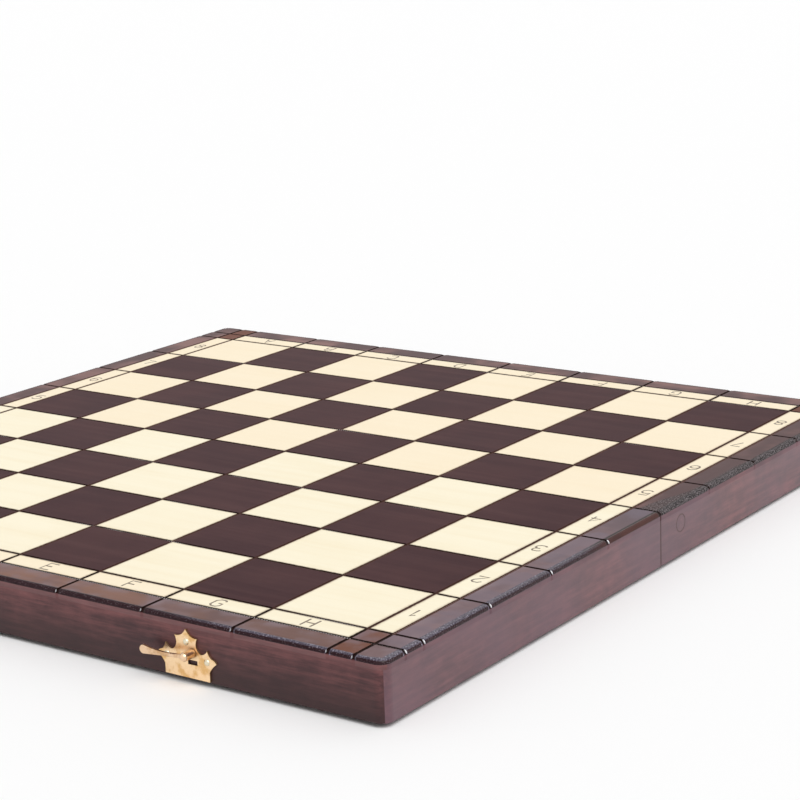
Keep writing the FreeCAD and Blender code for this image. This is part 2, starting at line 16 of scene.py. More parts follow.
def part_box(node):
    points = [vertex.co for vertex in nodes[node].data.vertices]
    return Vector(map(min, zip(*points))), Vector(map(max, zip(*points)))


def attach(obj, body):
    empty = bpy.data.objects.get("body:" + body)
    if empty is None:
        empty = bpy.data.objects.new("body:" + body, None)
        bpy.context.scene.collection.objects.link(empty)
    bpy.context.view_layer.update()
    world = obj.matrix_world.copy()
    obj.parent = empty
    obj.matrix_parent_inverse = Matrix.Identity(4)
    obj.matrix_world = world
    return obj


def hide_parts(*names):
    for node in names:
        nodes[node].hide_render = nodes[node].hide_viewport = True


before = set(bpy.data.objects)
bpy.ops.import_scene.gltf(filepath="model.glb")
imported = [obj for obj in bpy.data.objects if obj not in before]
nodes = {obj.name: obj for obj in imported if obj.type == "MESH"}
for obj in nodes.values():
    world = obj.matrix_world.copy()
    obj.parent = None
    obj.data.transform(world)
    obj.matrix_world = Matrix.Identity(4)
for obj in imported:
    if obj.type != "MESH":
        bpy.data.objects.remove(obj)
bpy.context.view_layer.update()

# %% [markdown]
# ## The measures of the board
# The field has four squares on each side of the middle. Round it runs a pale strip for the coordinates and
# then a dark border. All the burnt lines lie on these few distances, so both the meshes and the shaders
# below can be worked out from them.

# %% Measures
MM = 0.001
SQUARE = 46 * MM
FIELD = 4 * SQUARE
STRIP = FIELD + 12 * MM
EDGE = STRIP + 14 * MM
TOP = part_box("near_panel")[1].z
EDGE_ROUND = 1.9 * MM
CORNER_ROUND = 5 * MM
LINE_WIDTH = 1.3 * MM
LINE_DEPTH = 0.5 * MM
SEAM = 0.2 * MM
LINES = [-STRIP] + [step * SQUARE for step in range(-4, 5)] + [STRIP]
print(f"board {2 * EDGE / MM:.0f} mm across, playing surface {TOP / MM:.1f} mm over the table")

# %% [markdown]
# ## Shader maths as Python
# A procedural finish is mostly arithmetic on coordinates. Wiring dozens of Math nodes by hand hides that, so
# one small class wraps an output socket and overloads the operators. An expression such as `1 - mask` then
# adds the nodes itself. Every other kind of node comes from its `make` method.

# %% A wrapped socket
class Wire:
    """One output socket of a shader node."""

    def __init__(self, socket):
        self.socket = socket

    @classmethod
    def make(cls, tree, kind, settings=None, inputs=None, output=0):
        """Adds a node: its settings first, then the values or links of its sockets."""
        node = tree.nodes.new(kind)
        for name, value in (settings or {}).items():
            setattr(node, name, value)
        for name, value in (inputs or {}).items():
            cls.feed(node.inputs[name], value)
        return cls(node.outputs[output])

    @classmethod
    def feed(cls, socket, value):
        """Links a wire to a socket, or sets a plain value on it."""
        if isinstance(value, cls):
            socket.id_data.links.new(value.socket, socket)
        elif socket.type == "RGBA":
            socket.default_value = (*value, 1)
        else:
            socket.default_value = value

    def out(self, name):
        """Another output of the same node."""
        return Wire(self.socket.node.outputs[name])

    def maths(self, operation, *values):
        return Wire.make(self.socket.id_data, "ShaderNodeMath", {"operation": operation},
                         dict(enumerate(values)))

    def __add__(self, other):
        return self.maths("ADD", self, other)

    def __radd__(self, other):
        return self.maths("ADD", other, self)

    def __sub__(self, other):
        return self.maths("SUBTRACT", self, other)

    def __rsub__(self, other):
        return self.maths("SUBTRACT", other, self)

    def __mul__(self, other):
        return self.maths("MULTIPLY", self, other)

    def __rmul__(self, other):
        return self.maths("MULTIPLY", other, self)

    def __truediv__(self, other):
        return self.maths("DIVIDE", self, other)

    def __mod__(self, other):
        return self.maths("FLOORED_MODULO", self, other)

    def __lt__(self, other):
        return self.maths("LESS_THAN", self, other)

    def __gt__(self, other):
        return self.maths("GREATER_THAN", self, other)

    def __abs__(self):
        return self.maths("ABSOLUTE", self)

    def floor(self):
        return self.maths("FLOOR", self)

    def least(self, other):
        return self.maths("MINIMUM", self, other)

    def most(self, other):
        return self.maths("MAXIMUM", self, other)

    def fade(self, start, end):
        """0 at start and 1 at end, with a soft change between."""
        return Wire.make(self.socket.id_data, "ShaderNodeMapRange", {"interpolation_type": "SMOOTHSTEP"},
                         {"Value": self, "From Min": start, "From Max": end})


print("socket wrapper ready")

# %% [markdown]
# Every finish starts in the same way: a new material, the coordinates of the piece that wears it, some noise,
# and a little relief. These small helpers keep the finishes below short.

# %% Helpers for finishes
def mix(factor, first, second):
    """A colour between two colours."""
    return Wire.make(factor.socket.id_data, "ShaderNodeMix", {"data_type": "RGBA"},
                     {0: factor, 6: first, 7: second}, output=2)


def new_finish(name):
    """A new material, with its tree, its shader and the coordinates of the piece that wears it."""
    material = bpy.data.materials.new(name)
    material.use_nodes = True
    tree = material.node_tree
    place = Wire.make(tree, "ShaderNodeTexCoord", output="Object")
    return material, tree, tree.nodes["Principled BSDF"], place


def stretched(tree, place, scale):
    """Coordinates pulled longer along some axes, for grain."""
    return Wire.make(tree, "ShaderNodeVectorMath", {"operation": "MULTIPLY"}, {0: place, 1: scale})


def speckle(tree, place, scale, detail=4.0, roughness=0.6):
    """Smooth noise between 0 and 1."""
    return Wire.make(tree, "ShaderNodeTexNoise", None,
                     {"Vector": place, "Scale": scale, "Detail": detail, "Roughness": roughness})


def bump(tree, shader, height, distance, strength=0.5):
    """Fine relief that only the light sees."""
    relief = Wire.make(tree, "ShaderNodeBump", None,
                       {"Height": height, "Distance": distance, "Strength": strength})
    Wire.feed(shader.inputs["Normal"], relief)


def axes(tree, place):
    """The three coordinates as separate wires."""
    parts = Wire.make(tree, "ShaderNodeSeparateXYZ", None, {"Vector": place})
    return parts, parts.out("Y"), parts.out("Z")


print("shader maths ready")

# %% [markdown]
# ## Stained wood
# The walls are pale wood under a dark red-brown stain and a satin varnish. The stain sinks in unevenly, so
# the colour drifts in streaks along the grain and in soft clouds. The grain runs along each wall, so one
# helper gives the colour for any direction of grain, and each wall takes its own.

# %% Stained wood
STAIN_DEEP = (0.054, 0.019, 0.023)
STAIN_WARM = (0.245, 0.087, 0.087)
GRAIN_X = (42.0, 560.0, 560.0)
GRAIN_Y = (400.0, 30.0, 400.0)
GRAIN_END = (60.0, 300.0, 300.0)
GRAIN_SHARE = 0.55
CLOUD_SHARE = 0.25
BLOTCH_SHARE = 0.20
SATIN = 0.36
WALL_COAT_ROUGHNESS = 0.3
WALL_GRAIN_DEPTH = 0.06 * MM


def stain(tree, place, stretch):
    """The stained colour, and the grain and the clouds that it follows."""
    grain = speckle(tree, stretched(tree, place, stretch), 1.0, 7.0, 0.65)
    cloud = speckle(tree, place, 34.0)
    blotch = speckle(tree, place, 150.0, 3.0)
    tone = (grain.fade(0.36, 0.70) * GRAIN_SHARE + cloud.fade(0.34, 0.70) * CLOUD_SHARE
            + blotch.fade(0.35, 0.70) * BLOTCH_SHARE)
    return mix(tone, STAIN_DEEP, STAIN_WARM), grain, cloud


def stained_finish(name, stretch, varnish, marks):
    """A stained wall; marks changes the colour for the wall's own marks and for its painted light and shade.
    """
    material, tree, shader, place = new_finish(name)
    colour, grain, cloud = stain(tree, place, stretch)
    gloss, coat = varnish
    Wire.feed(shader.inputs["Base Color"], marks(tree, place, colour))
    Wire.feed(shader.inputs["Roughness"], SATIN + cloud * 0.12)
    shader.inputs["Specular IOR Level"].default_value = gloss
    shader.inputs["Coat Weight"].default_value = coat
    shader.inputs["Coat Roughness"].default_value = WALL_COAT_ROUGHNESS
    bump(tree, shader, grain, WALL_GRAIN_DEPTH)
    return material


print("stain ready for", len((GRAIN_X, GRAIN_Y, GRAIN_END)), "directions of grain")

# %% [markdown]
# Each direction has its marks. On the end walls the top is painted lighter and the rim darker, as painted
# light and shade. On the side walls a round plug shows as a thin ring, drifts of painted cool reflection lie
# on the stain, the end grain at the fold is dark, and the varnish is thicker.

# %% Marks on the walls
PLUG_MIDDLE = (EDGE, 18.5 * MM, TOP - 10 * MM)
PLUG_RADIUS = 4 * MM
PLUG_SEAM_WIDTH = 0.30 * MM
PLUG_SEAM = (0.060, 0.014, 0.014)
# Painted shade at the rim and painted light at the top of the end walls.
RIM_SHADE = (0.032, 0.014, 0.015)
RIM_SHADE_SHARE = 0.88
TOP_LIGHT_SHARE = 0.6
COOL_REFLECTION = (0.120, 0.060, 0.084)
END_GRAIN = (0.070, 0.025, 0.026)
THIN_VARNISH = (0.25, 0.10)
THICK_VARNISH = (0.40, 0.40)


def pooled_rim(tree, place, colour):
    """Painted light under the edge, painted shade towards the rim."""
    height = axes(tree, place)[2]
    # Painted light on the top of the wall, then painted shade down to the rim.
    colour = mix(height.fade(18 * MM, 30 * MM) * TOP_LIGHT_SHARE, colour, STAIN_WARM)
    return mix(RIM_SHADE_SHARE - height.fade(2 * MM, 29 * MM) * RIM_SHADE_SHARE, colour, RIM_SHADE)


def plug_and_fold(tree, place, colour):
    """Painted cool reflection in large drifts, the ring of the plug, and dark end grain at the fold."""
    x, y, _ = axes(tree, place)
    reach = Wire.make(tree, "ShaderNodeVectorMath", {"operation": "DISTANCE"},
                      {0: place, 1: PLUG_MIDDLE}, output="Value")
    ring = (abs(reach - PLUG_RADIUS) < PLUG_SEAM_WIDTH) * (x > EDGE - 1 * MM)
    at_fold = 1 - abs(y).fade(0.25 * MM, 0.75 * MM)
    # Drifts of painted cool reflection on the stain.
    colour = mix(speckle(tree, place, 9.0, 2.0).fade(0.2, 0.8), colour, COOL_REFLECTION)
    return mix(at_fold, mix(ring, colour, PLUG_SEAM), END_GRAIN)


stain_along_x = stained_finish("stain_along_x", GRAIN_X, THIN_VARNISH, pooled_rim)
stain_along_y = stained_finish("stain_along_y", GRAIN_Y, THICK_VARNISH, plug_and_fold)
stain_end_grain = stained_finish("stain_end_grain", GRAIN_END, THICK_VARNISH, plug_and_fold)
print("walls:", stain_along_x.name, stain_along_y.name, stain_end_grain.name)

# %% [markdown]
# ## The playing surface
# On the real board the squares are stained and varnished on one wooden panel, and a hot tool draws the lines
# between them. Painting an image would tie the finish to one picture size, so the squares come from
# arithmetic: the coordinate in squares is rounded down, and the sum of both is odd on a pale square.
# Distances from the lines and from the edge give the scorched and the toasted wood beside them.

# %% Squares, strips and lines as masks
board_finish, tree, shader, place = new_finish("board_finish")
x, y, z = axes(tree, place)
odd = ((x / SQUARE).floor() + (y / SQUARE).floor()) % 2.0
far_x = abs(x)
far_y = abs(y)
outer = far_x.most(far_y)
inner = far_x.least(far_y)
in_field = outer < FIELD
in_strip = (outer > FIELD) * (outer < STRIP) * (inner < FIELD)
on_far_half = y > 0.0
on_near_half = y < 0.0
pale = in_field * odd + in_strip
border = (outer > FIELD) - in_strip


def line_distance(coordinate, far):
    """How far a point is from the nearest burnt line across this coordinate."""
    field_line = abs((coordinate / SQUARE + 0.5) % 1.0 - 0.5) * SQUARE
    return field_line.least(abs(far - STRIP))


from_file_line = line_distance(x, far_x)
nearest_line = from_file_line.least(line_distance(y, far_y))
waver = speckle(tree, place, 900.0, 2.0) - 0.5
scorched = 1 - (nearest_line + waver * (0.5 * MM)).fade(0.6 * MM, 1.05 * MM)
toasted = 1 - (nearest_line + waver * (1.2 * MM)).fade(0.7 * MM, 2.2 * MM)
print("masks:", len(tree.nodes), "nodes")

# %% [markdown]
# The pale wood is maple-like, with faint streaks. On the far half it is a little warmer and darker, as
# painted shade, and at the left of the near strip it is a little warmer. The dark squares are nearly black
# where the stain is deep. Both follow the same grain.

# %% Pale and dark squares
DARK_SQUARE = (0.046, 0.016, 0.019)
DARK_STREAK = (0.076, 0.032, 0.033)
PALE_SQUARE = (0.965, 0.890, 0.695)
PALE_STREAK = (0.910, 0.795, 0.565)
PALE_WARM = (0.960, 0.800, 0.590)
WARMED_SHARE = 0.5
BOARD_GRAIN = (9.0, 160.0, 60.0)

grain = speckle(tree, stretched(tree, place, BOARD_GRAIN), 1.0, 6.0, 0.62)
cloud = speckle(tree, place, 22.0, 3.0)
pale_tone = grain.fade(0.38, 0.75) * 0.4 + cloud.fade(0.38, 0.75) * 0.2
near_strip = (y < -FIELD) * (1 - x.fade(70 * MM, 130 * MM))
# Painted shade on the pale squares of the far half; the left of the near strip is only warmer.
warmth_and_shade = on_far_half.most(near_strip) * WARMED_SHARE
pale_colour = mix(warmth_and_shade, mix(pale_tone, PALE_SQUARE, PALE_STREAK), PALE_WARM)
dark_tone = grain.fade(0.38, 0.72) * 0.45 + cloud.fade(0.36, 0.70) * 0.55
dark_colour = mix(dark_tone, DARK_SQUARE, DARK_STREAK)
print("squares:", len(tree.nodes), "nodes")

# %% [markdown]
# The border was stained on its own. It is brown in patches at the front, painted with a cool reflection at
# the right, darker on the far half, and warm in the small corner cells. Along the lines and the edge a paler
# painted sheen fades with the distance from them.

# %% Border
BORDER_DEEP = (0.075, 0.034, 0.034)
BORDER_WARM = (0.220, 0.112, 0.100)
BORDER_FRONT = (0.220, 0.087, 0.035)
BORDER_RIGHT_REFLECTION = (0.142, 0.112, 0.149)
BORDER_SHEEN = (0.205, 0.140, 0.155)
CORNER_WARM = (0.165, 0.060, 0.034)
CORNER_SHARE = 0.75
SHEEN_WIDTH = 8 * MM

to_far_half = y.fade(-110 * MM, 10 * MM)
to_corner = x.fade(50 * MM, 130 * MM) * (1 - y.fade(-STRIP, -FIELD))
fresh = 1 - to_corner * 0.6
border_tone = (0.3 + dark_tone) * (1 - to_far_half * (1 - cloud.fade(0.42, 0.60))) * fresh
border_colour = mix(border_tone, BORDER_DEEP, BORDER_WARM)
patch = speckle(tree, place, 48.0, 2.0).fade(0.42, 0.58)
border_colour = mix((y < -STRIP) * (0.1 + patch * 0.45) * fresh, border_colour, BORDER_FRONT)
# Painted cool reflection on the near half's right border.
border_colour = mix((x > STRIP) * on_near_half * (0.65 - patch * 0.35), border_colour, BORDER_RIGHT_REFLECTION)
corner_cell = (inner > FIELD) * (far_x < STRIP)
border_colour = mix(corner_cell * CORNER_SHARE, border_colour, CORNER_WARM)
# Painted sheen, paler and purple-grey, along the lines and the edge.
sheen_spread = speckle(tree, place, 70.0, 3.0).fade(0.38, 0.66) * (0.9 - to_far_half * 0.8)
line_sheen = (1 - nearest_line.least(EDGE - outer).fade(0.0, SHEEN_WIDTH)) * sheen_spread
border_colour = mix(line_sheen, border_colour, BORDER_SHEEN)
print("border:", len(tree.nodes), "nodes")

# %% [markdown]
# The heat has toasted the pale wood beside the lines and burnt a band along the edge. The band is wider at
# the right; there and towards the front corner it carries a painted highlight with painted glints. Beside the
# fold the far half has a crumbly patch.

# %% Burnt lines and band
SCORCH = (0.020, 0.010, 0.009)
SCORCH_BROWN = (0.090, 0.044, 0.037)
TOAST = (0.24, 0.12, 0.060)
TOAST_SHARE = 0.4
CRUMB_GREY = (0.190, 0.163, 0.170)
CRUMBLY_SHARE = 0.8
HIGHLIGHT_DEEP = (0.066, 0.053, 0.076)
HIGHLIGHT_BRIGHT = (0.370, 0.342, 0.410)
BAND_WIDTH = 1.8
BAND_WIDER = 1.3

wood = mix(pale, mix(border, dark_colour, border_colour), pale_colour)
wood = mix(toasted * TOAST_SHARE * pale, wood, TOAST)
at_right = x.fade(EDGE - 9 * MM, EDGE - 4 * MM)
band_width = (BAND_WIDTH + BAND_WIDER * at_right) * MM
from_edge = EDGE - outer + waver * (0.6 * MM)
rim_band = 1 - (from_edge - band_width).fade(-0.5 * MM, 0.4 * MM)
crumb = speckle(tree, place, 1300.0, 3.0, 0.7)
# Painted highlight on the band at the right and towards the front corner, with painted glints in it.
band_highlight = mix(crumb.fade(0.50, 0.68), HIGHLIGHT_DEEP, HIGHLIGHT_BRIGHT)
to_right = x.fade(90 * MM, 160 * MM)
highlighted = at_right.most(to_right) * (1 - y.fade(-1.6 * SQUARE, -1.0 * SQUARE))
wood = mix(rim_band, wood, mix(highlighted, SCORCH, band_highlight))
brown_line = (from_file_line < 1.1 * MM) * (far_y < FIELD)
wood = mix(scorched, wood, mix(brown_line, SCORCH, SCORCH_BROWN))
print("lines and band:", len(tree.nodes), "nodes")

# %% Crumbly patch
crumbly_width = (2.9 + 8.0 * (1 - y.fade(2 * MM, 42 * MM))) * MM
from_right = EDGE - x + (cloud - 0.5) * (5 * MM)
crumbly = (1 - (from_right - crumbly_width).fade(-1.0 * MM, 1.0 * MM)) * on_far_half
wood = mix(crumbly * CRUMBLY_SHARE, wood, mix(crumb.fade(0.45, 0.62), SCORCH, CRUMB_GREY))
print("playing surface:", len(tree.nodes), "nodes")

# %% [markdown]
# Under the burnt edge, the panel's own sides are stained and coated as the walls are. On top, a satin varnish
# over a dark stain mirrors little, so the specular level is low. Only on the border does the varnish lie
# thicker, and less so in the corner cells and on the far half. The burnt lines carry none.

# %% Sides and varnish of the panel
SIDE_COAT = 0.6
BORDER_COAT = 0.35
CORNER_COAT_LOSS = 0.25
FAR_COAT_LOSS = 0.1

# The panel's sides carry the same painted light and shade as the walls.
side_x = pooled_rim(tree, place, stain(tree, place, GRAIN_X)[0])
side_y = plug_and_fold(tree, place, stain(tree, place, GRAIN_Y)[0])
side_colour = mix(far_x > (EDGE - 0.5 * MM), side_x, side_y)
under_edge = 1 - z.fade(TOP - EDGE_ROUND - 0.2 * MM, TOP - EDGE_ROUND + 0.3 * MM)
Wire.feed(shader.inputs["Base Color"], mix(under_edge, wood, side_colour))
Wire.feed(shader.inputs["Roughness"], SATIN + cloud * 0.10 + scorched * 0.20 + crumbly * 0.20)
shader.inputs["Specular IOR Level"].default_value = 0.02
border_coat = BORDER_COAT - corner_cell * CORNER_COAT_LOSS - on_far_half * FAR_COAT_LOSS
Wire.feed(shader.inputs["Coat Weight"], under_edge * SIDE_COAT + border * (1 - scorched) * border_coat)
shader.inputs["Coat Roughness"].default_value = 0.4
bump(tree, shader, grain, 0.05 * MM)
print("with its sides:", len(tree.nodes), "nodes")

# %% [markdown]
# ## Burnt wood
# The edge and the lines are charred with a hot toothed wheel. Char is nearly black, with pale flecks painted
# as glints, and a painted cold highlight on its upper round at the right and towards the front corner. The
# wheel was not led evenly: beside the fold the near half's right edge is only browned, and the far half's
# right edge is grey and crumbly.

# %% Char on the edge
CHAR_DEEP = (0.022, 0.007, 0.010)
CHAR_WARM = (0.068, 0.032, 0.040)
CHAR_GLINT = (0.16, 0.125, 0.14)
CHAR_GREY = (0.018, 0.016, 0.016)
BROWNED_DEEP = (0.045, 0.020, 0.020)
BROWNED_WARM = (0.110, 0.038, 0.028)
BROWNED_FROM = -1.5 * SQUARE
BROWNED_TO = -0.9 * SQUARE

burnt_finish, tree, shader, place = new_finish("burnt_finish")
x, y, z = axes(tree, place)
crumb = speckle(tree, place, 1500.0, 3.0, 0.7)
# Pale flecks on the char are painted glints.
fleck = speckle(tree, place, 2300.0, 2.0, 0.5).fade(0.62, 0.68)
drift = speckle(tree, place, 18.0, 3.0)
char = mix(crumb.fade(0.50, 0.72) * drift.fade(0.35, 0.75), CHAR_DEEP, CHAR_WARM)
char = mix(fleck, char, CHAR_GLINT)
at_right = x > (EDGE - 4 * MM)
upper = z.fade(TOP - 0.65 * MM, TOP - 0.2 * MM)
fading = 1 - y.fade(-190 * MM, -90 * MM) * 0.5
# Painted cold highlight on the upper round, at the right and towards the front corner.
highlighted = at_right.most(x.fade(90 * MM, 160 * MM)) * upper * (y < 0.0) * fading
char = mix(highlighted, char, mix(crumb.fade(0.50, 0.68), HIGHLIGHT_DEEP, HIGHLIGHT_BRIGHT))
browned = at_right * y.fade(BROWNED_FROM, BROWNED_TO) * (y < 0.0)
char = mix(browned, char, mix(drift.fade(0.3, 0.7), BROWNED_DEEP, BROWNED_WARM))
crumbly = at_right * (y > 0.0)
char = mix(crumbly, char, mix(crumb.fade(0.44, 0.62), CHAR_GREY, CRUMB_GREY))
Wire.feed(shader.inputs["Base Color"], char)
Wire.feed(shader.inputs["Roughness"], 0.24 + crumb * 0.22 + crumbly * 0.25)
shader.inputs["Specular IOR Level"].default_value = 0.10
Wire.feed(shader.inputs["Coat Weight"], at_right * (1 - crumbly) * (1 - browned) * 0.2)
shader.inputs["Coat Roughness"].default_value = 0.12
bump(tree, shader, crumb, 0.08 * MM, 0.6)
print("char:", len(tree.nodes), "nodes")

# %% [markdown]
# In the lines the wheel leaves crests that the heat reached less, so they are brown, with painted glints on
# them in places. The lines along the files are browner than the lines across them, and their painted glints
# are tan. Where a line runs out over the strip and the border, it is burnt black.

# %% Char in the lines
LINE_BLACK = (0.018, 0.010, 0.008)
LINE_BROWN = (0.085, 0.041, 0.034)
CREST_BROWN = (0.095, 0.050, 0.038)
CREST_GLINT = (0.62, 0.57, 0.57)
CREST_GLINT_TAN = (0.26, 0.17, 0.15)


def scorch(along, ground, crest_glint):
    """Char in a line: dark ground, crests with painted glints in places, and all black where it runs out."""
    material, tree, shader, place = new_finish(f"scorch_along_{along}")
    x, y, z = axes(tree, place)
    ahead, aside = (abs(x), abs(y)) if along == "x" else (abs(y), abs(x))
    crumb = speckle(tree, place, 1100.0, 3.0, 0.7)
    drift = speckle(tree, place, 26.0, 2.0)
    glinting = drift.fade(0.56, 0.68).most(aside.fade(FIELD, STRIP))
    run_out = ahead.fade(FIELD - 1 * MM, FIELD + 2 * MM)
    crest = z.fade(TOP - 0.28 * MM, TOP - 0.14 * MM) * (1 - run_out * 0.85)
    # Painted glints on the crests in places.
    crest_tone = mix(glinting, CREST_BROWN, crest_glint)
    Wire.feed(shader.inputs["Base Color"], mix(crest, mix(run_out, ground, LINE_BLACK), crest_tone))
    Wire.feed(shader.inputs["Roughness"], 0.45 + crumb * 0.25)
    shader.inputs["Specular IOR Level"].default_value = 0.01
    bump(tree, shader, crumb, 0.06 * MM)
    return material


scorch_along = {"x": scorch("x", LINE_BLACK, CREST_GLINT), "y": scorch("y", LINE_BROWN, CREST_GLINT_TAN)}
print("scorch:", [finish.name for finish in scorch_along.values()])

# %% [markdown]
# ## Brass
# The clasps, hinges and nails are thin stamped brass. Brass that is handled loses its mirror shine: the
# roughness varies with fine smears. The colour is painted dark brown where a point is closed in, as painted
# shade in the corners and under the hooks; a node that measures how closed-in a point is finds those places.
# The hooks are of a redder brass, and the nails of a paler one.

# %% Brass
CORNER_SHADE = (0.20, 0.105, 0.040)
CORNER_REACH = 4 * MM
SMEAR_STRETCH = (400.0, 400.0, 3000.0)


def brass(name, bright, tarnished):
    """Handled brass between a bright and a tarnished colour."""
    material, tree, shader, place = new_finish(name)
    tarnish = speckle(tree, place, 200.0)
    smear = speckle(tree, stretched(tree, place, SMEAR_STRETCH), 1.0, 3.0)
    openness = Wire.make(tree, "ShaderNodeAmbientOcclusion", {"samples": 16},
                         {"Distance": CORNER_REACH}, output="AO")
    # Painted shade where the brass is closed in: corners, under the hook, round the nails.
    corners = 1 - openness.fade(0.30, 0.92)
    colour = mix(tarnish.fade(0.44, 0.66), bright, tarnished)
    Wire.feed(shader.inputs["Base Color"], mix(corners, colour, CORNER_SHADE))
    Wire.feed(shader.inputs["Roughness"], 0.18 + smear * 0.14 + tarnish * 0.10 + corners * 0.2)
    shader.inputs["Metallic"].default_value = 1.0
    bump(tree, shader, smear * 0.1 + tarnish, 0.25 * MM)
    return material


brass_finish = brass("brass_finish", (0.96, 0.70, 0.43), (0.76, 0.465, 0.19))
hook_finish = brass("hook_finish", (0.84, 0.60, 0.40), (0.62, 0.38, 0.20))
nail_finish = brass("nail_finish", (0.78, 0.72, 0.55), (0.45, 0.36, 0.20))
print("brass:", brass_finish.name, hook_finish.name, nail_finish.name)

# %% [markdown]
# ## Dressing the CAD pieces
# A CAD piece whose shape is right keeps its mesh and only changes its material. Which finish it wears
# follows from how its name ends. The first ending that fits counts, and what is left over is brass.

# %% Finishes for the CAD pieces
FINISH_BY_ENDING = [
    ("panel", board_finish),
    (("front_wall", "back_wall", "rail"), stain_along_x),
    ("wall", stain_along_y),
    ("plug", stain_end_grain),
    (("hook", "rivet"), hook_finish),
    ("nails", nail_finish),
    ("", brass_finish),
]
for name, piece in nodes.items():
    piece.data.materials.clear()
    piece.data.materials.append(next(finish for ending, finish in FINISH_BY_ENDING if name.endswith(ending)))
print("finished", len(nodes), "CAD pieces")

# %% [markdown]
# ## The toothed burnt edge
# A burning wheel rolls round the rounded edge and leaves rows of small teeth. They show in the outline, so
# they are real geometry. Each stretch between two lines is a closed bar: its section is a piece of the
# edge's quarter round, closed by its chord inside the panel, and the teeth push the round outwards.
#
# Several pieces below are such closed bars, so joining rings of points into a bar, and putting a finished
# mesh into the scene, are helpers of their own.

# %% Closed bars
def add_piece(name, mesh, finish, body):
    """Puts a mesh into the scene; it rides on a body and wears a finish."""
    mesh.materials.clear()
    mesh.materials.append(finish)
    piece = bpy.data.objects.new(name, mesh)
    bpy.context.scene.collection.objects.link(piece)
    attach(piece, body)
    print(name, len(mesh.polygons), "faces")
    return piece


def add_shape(name, fill, finish, body):
    """A new piece from a function that fills a bmesh."""
    mesh = bpy.data.meshes.new(name)
    shape = bmesh.new()
    fill(shape)
    bmesh.ops.recalc_face_normals(shape, faces=shape.faces)
    shape.to_mesh(mesh)
    shape.free()
    for face in mesh.polygons:
        face.use_smooth = True
    return add_piece(name, mesh, finish, body)


def sweep(shape, rings):
    """Closed rings of points joined into a closed bar."""
    loops = [[shape.verts.new(point) for point in ring] for ring in rings]
    count = len(loops[0])
    for before, after in zip(loops, loops[1:]):
        for index in range(count):
            following = (index + 1) % count
            shape.faces.new((before[index], before[following], after[following], after[index]))
    shape.faces.new(loops[0])
    shape.faces.new(loops[-1])


print("bars ready")

# %% [markdown]
# The teeth lean along the edge, and fine grit breaks them up. They fade at the top and at the wall, so that
# the bar stays inside the board's box, and at both ends, where the line's nick begins. On the browned stretch
# the teeth are gone, and the crumbly one is mostly grit.

# %% Section of the edge
TOOTH_PITCH = 1.5 * MM
TOOTH_HEIGHT = 0.36 * MM
TOOTH_LEAN = 1.5
GRIT_LENGTH = 0.7 * MM
EDGE_RAYS = 9
EDGE_SKIN = 0.03 * MM
END_LENGTH = 0.8 * MM
END_DIP = 0.25 * MM
STRAIGHT = 0.99


def tooth_shares(corner, outward):
    """How much of the teeth and of the loose grit shows at a point of the edge."""
    if outward.x < STRAIGHT:
        return 0.55, 0.45
    if corner.y > 0:
        return 0.15, 0.85
    browned = min(1.0, max(0.0, (corner.y - BROWNED_FROM) / (BROWNED_TO - BROWNED_FROM)))
    return 0.55 * (1 - browned), 0.45 - 0.30 * browned


def edge_ring(corner, outward, distance, end_fade, turn):
    """Section of the edge bar at one point of the rounded edge's centre line."""
    teeth, loose = tooth_shares(corner, outward)
    ring = []
    for ray in range(EDGE_RAYS):
        lift = ray / (EDGE_RAYS - 1)
        angle = lift * math.pi / 2
        tooth = 0.5 + 0.5 * math.cos(2 * math.pi * (distance / TOOTH_PITCH + TOOTH_LEAN * lift))
        grit = 0.5 + 0.5 * noise.noise(Vector((distance / GRIT_LENGTH, 6 * lift, turn)))
        height = (TOOTH_HEIGHT * (teeth * tooth + loose * grit) + EDGE_SKIN) * math.sin(2 * angle)
        reach = EDGE_ROUND + end_fade * height - (1 - end_fade) * END_DIP
        ring.append(corner + outward * (reach * math.sin(angle)) + Vector((0, 0, reach * math.cos(angle))))
    return ring


def edge_stretch(shape, points, turn):
    """One bar along a run of (point, outward direction, distance)."""
    first = points[0][2]
    last = points[-1][2]
    rings = []
    for point, outward, distance in points:
        end_share = min(1.0, min(distance - first, last - distance) / END_LENGTH)
        rings.append(edge_ring(point, outward, distance, math.sin(end_share * math.pi / 2), turn))
    sweep(shape, rings)


print(f"teeth every {TOOTH_PITCH / MM:.1f} mm, up to {TOOTH_HEIGHT / MM:.2f} mm high")

# %% [markdown]
# The route runs from the fold along one side, round two corners and back to the fold. The far half's route is
# the near half's, turned half round.

# %% Route round a half
EDGE_STEP = 0.26 * MM
EDGE_STRETCH = EDGE / (EDGE - 0.5 * EDGE_ROUND)
EDGE_HEIGHT = TOP - EDGE_ROUND
INSET = EDGE - EDGE_ROUND
STRAIGHT_END = EDGE - CORNER_ROUND


def straight_run(start, end, outward):
    """Points along a straight side, with their outward direction."""
    start = Vector((*start, EDGE_HEIGHT))
    end = Vector((*end, EDGE_HEIGHT))
    outward = Vector((*outward, 0))
    count = round((end - start).length / EDGE_STEP)
    return [(start.lerp(end, step / count), outward) for step in range(count + 1)]


def corner_run(middle, start_angle):
    """Points round a corner, without its ends."""
    middle = Vector((*middle, EDGE_HEIGHT))
    bend = CORNER_ROUND - EDGE_ROUND
    count = max(2, round(CORNER_ROUND * math.pi / 2 / EDGE_STEP))
    run = []
    for step in range(1, count):
        angle = start_angle + step / count * math.pi / 2
        outward = Vector((math.cos(angle), math.sin(angle), 0))
        run.append((middle + outward * bend, outward))
    return run


